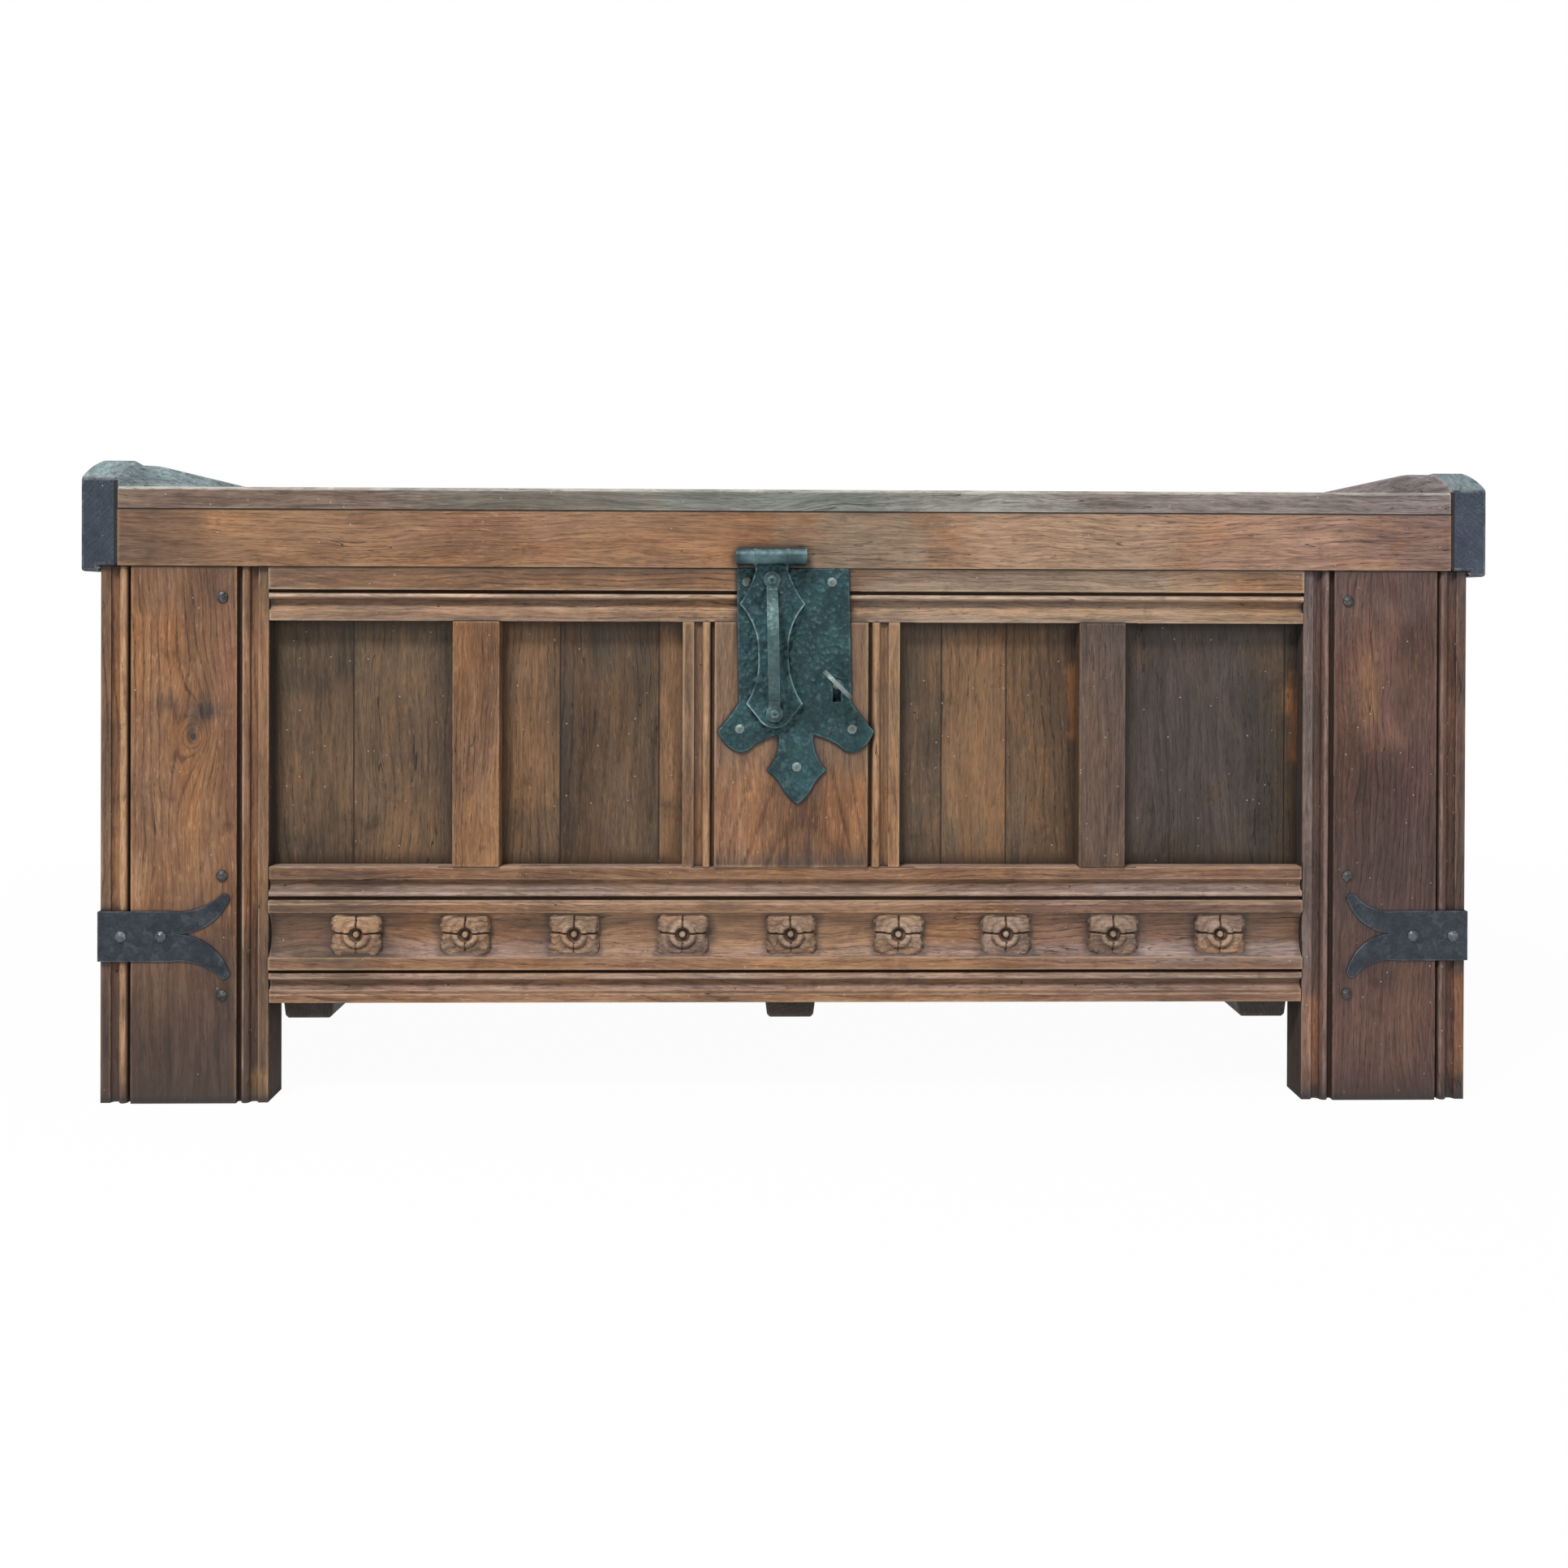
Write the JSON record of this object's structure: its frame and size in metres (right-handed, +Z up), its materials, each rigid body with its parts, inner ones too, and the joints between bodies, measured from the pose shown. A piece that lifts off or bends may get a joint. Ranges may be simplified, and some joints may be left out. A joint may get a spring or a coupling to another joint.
{
  "type": "joined chest with lift-up lid",
  "caption": "Oak framed chest on four legs with a lift-up lid, carved lower rail, iron hasp lock with key, bail handle and corner straps.",
  "frame": {"origin": "on the floor, at the centre of the overall box in X and Y", "axes": "+Z up, the front faces -Y, +X to the right seen from the front"},
  "size_m": [1.5, 0.6198, 0.6878],
  "materials": {
    "oak": "waxed, worn oak, mid brown",
    "dark_oak": "blackened oak end grain, grey-green on top",
    "panel_oak": "waxed oak, darker brown",
    "floor_oak": "dry unwaxed oak",
    "lock_iron": "hammered wrought iron, dark blue-green patina",
    "strap_iron": "hammered wrought iron, charcoal",
    "nail_iron": "hammered iron heads, worn lighter",
    "hinge_iron": "wrought iron, dark brown-black",
    "key_steel": "worn grey steel"
  },
  "bodies": {
    "hasp": {"bail_handle": "lock_iron", "hasp_plate": "lock_iron", "hasp_rivets": "nail_iron", "hasp_staple": "lock_iron"},
    "chest": {"bottom_front_rail": "oak", "carved_rosettes": "oak", "centre_plank": "oak", "corner_strap_left": "strap_iron", "corner_strap_nails": "nail_iron", "corner_strap_right": "strap_iron", "floor_bearers": "floor_oak", "floor_boards": "floor_oak", "front_panel_1": "panel_oak", "front_panel_2": "panel_oak", "front_panel_3": "panel_oak", "front_panel_4": "panel_oak", "front_stile_left": "oak", "front_stile_right": "oak", "leg_nails": "nail_iron", "lock_case": "lock_iron", "lock_plate": "lock_iron", "lock_plate_nails": "nail_iron", "muntin_left": "oak", "muntin_right": "oak", "rear_bottom_rail": "oak", "rear_hinge_body_leaves": "hinge_iron", "rear_hinge_body_nails": "nail_iron", "rear_hinge_pins": "hinge_iron", "rear_muntin_left": "oak", "rear_muntin_right": "oak", "rear_panel_1": "panel_oak", "rear_panel_2": "panel_oak", "rear_panel_3": "panel_oak", "rear_stile_left": "oak", "rear_stile_right": "oak", "rear_top_rail": "oak", "side_bottom_rail_left": "oak", "side_bottom_rail_right": "oak", "side_muntin_left": "oak", "side_muntin_right": "oak", "side_panel_left_1": "panel_oak", "side_panel_left_2": "panel_oak", "side_panel_right_1": "panel_oak", "side_panel_right_2": "panel_oak", "side_top_rail_left": "oak", "side_top_rail_right": "oak", "top_front_rail": "oak"},
    "lid": {"hasp_hinge_leaf": "lock_iron", "hasp_hinge_nails": "nail_iron", "hasp_hinge_pin": "lock_iron", "lid_batten_left": "dark_oak", "lid_batten_right": "dark_oak", "lid_boards": "oak", "lid_front_apron": "oak", "lid_rear_apron": "oak", "rear_hinge_lid_leaves": "hinge_iron", "rear_hinge_lid_nails": "nail_iron"},
    "key": {"key": "key_steel"},
    "bolt": {"lock_bolt": "key_steel"}
  },
  "joints": [
    {"name": "lid_hinge", "type": "hinge", "parent": "chest", "child": "lid", "pos_m": [0, 0.3029, 0.57115], "axis": [-1, 0, 0], "range_deg": [0, 95]},
    {"name": "hasp_hinge", "type": "hinge", "parent": "lid", "child": "hasp", "pos_m": [-0.0197, -0.27745, 0.583], "axis": [-1, 0, 0], "range_deg": [0, 150]},
    {"name": "key_turn", "type": "hinge", "parent": "chest", "child": "key", "pos_m": [0.0505, -0.2645, 0.448], "axis": [0, 1, 0], "range_deg": [0, 90]},
    {"name": "bolt_slide", "type": "slide", "parent": "chest", "child": "bolt", "axis": [1, 0, 0], "range_m": [0, 0.014]}
  ],
  "couplings": [
    {"joint": "bolt_slide", "follows": "key_turn", "m_per_rad": 0.0089126}
  ]
}
